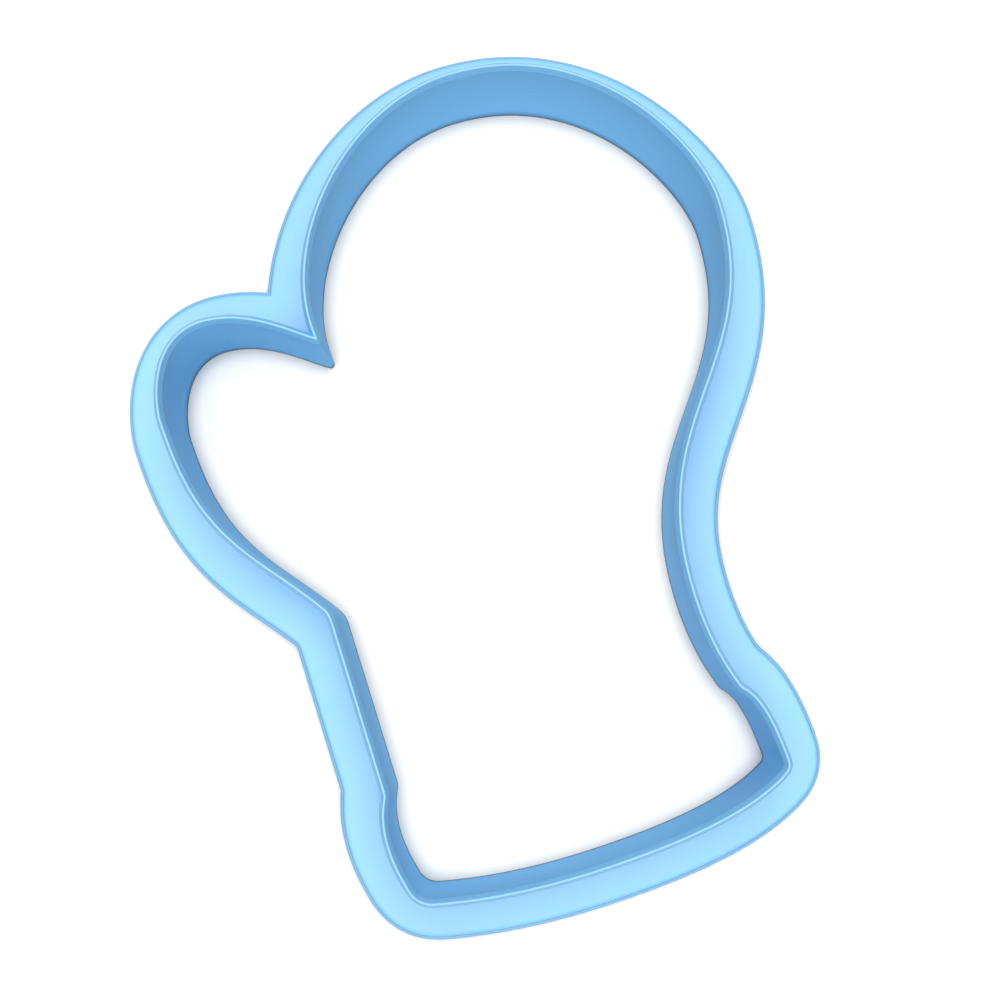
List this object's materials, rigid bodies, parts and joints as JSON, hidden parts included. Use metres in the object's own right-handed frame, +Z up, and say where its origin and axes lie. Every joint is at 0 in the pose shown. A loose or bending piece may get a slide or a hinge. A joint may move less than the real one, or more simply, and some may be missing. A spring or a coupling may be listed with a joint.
{
  "type": "cookie cutter",
  "caption": "Mitten-shaped plastic cookie cutter: a thin upright wall with a bevelled cutting edge, standing on a flat outward grip rim.",
  "frame": {"origin": "centre of the footprint, on the surface that the rim rests on", "axes": "+Z up from the rim to the cutting edge, +Y from the cuff towards the fingertips, +X away from the thumb"},
  "size_m": [0.0644, 0.083, 0.015],
  "materials": {
    "blue_plastic": "light blue printed plastic, satin, with fine horizontal layer lines on the wall"
  },
  "bodies": {
    "root": {"grip_rim": "blue_plastic", "cutter_wall": "blue_plastic", "cutting_edge": "blue_plastic"}
  },
  "joints": []
}
